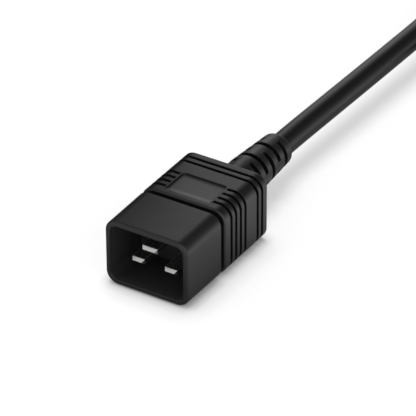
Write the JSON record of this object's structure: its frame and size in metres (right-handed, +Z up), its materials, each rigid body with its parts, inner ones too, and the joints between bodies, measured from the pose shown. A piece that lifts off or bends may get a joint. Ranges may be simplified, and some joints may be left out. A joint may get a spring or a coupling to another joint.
{
  "type": "power cord",
  "caption": "Black mains lead with a moulded three-blade inlet-style plug, a slotted strain relief and a matching slotted connector, its spare length tied in a hank.",
  "frame": {"origin": "under the middle of the plug (mouth to strain-relief tip), on the surface that it lies on", "axes": "+Z up with the earth blade above the other two; +Y along the plug from its mouth towards the cord; +X to the right seen from the mouth"},
  "size_m": [0.0834, 0.3941, 0.0258],
  "materials": {
    "hard_black": "fine satin moulding",
    "soft_black": "fine matt soft plastic",
    "cord_jacket": "satin soft plastic",
    "nickel": "bright nickel plate",
    "tie_strap": "woven strap",
    "core_green": "satin",
    "core_brown": "satin",
    "core_blue": "satin"
  },
  "bodies": {
    "root": {"plug_shroud": "hard_black", "plug_overmould": "soft_black", "connector_body": "hard_black", "connector_overmould": "soft_black", "cord_run": "cord_jacket", "cord_hank": "cord_jacket", "cord_tail": "cord_jacket", "hank_tie": "tie_strap", "earth_pin": "nickel", "earth_contact": "nickel", "plug_earth_core": "core_green", "connector_earth_core": "core_green", "line_pin": "nickel", "line_contact": "nickel", "plug_line_core": "core_brown", "connector_line_core": "core_brown", "neutral_pin": "nickel", "neutral_contact": "nickel", "plug_neutral_core": "core_blue", "connector_neutral_core": "core_blue"}
  },
  "joints": []
}
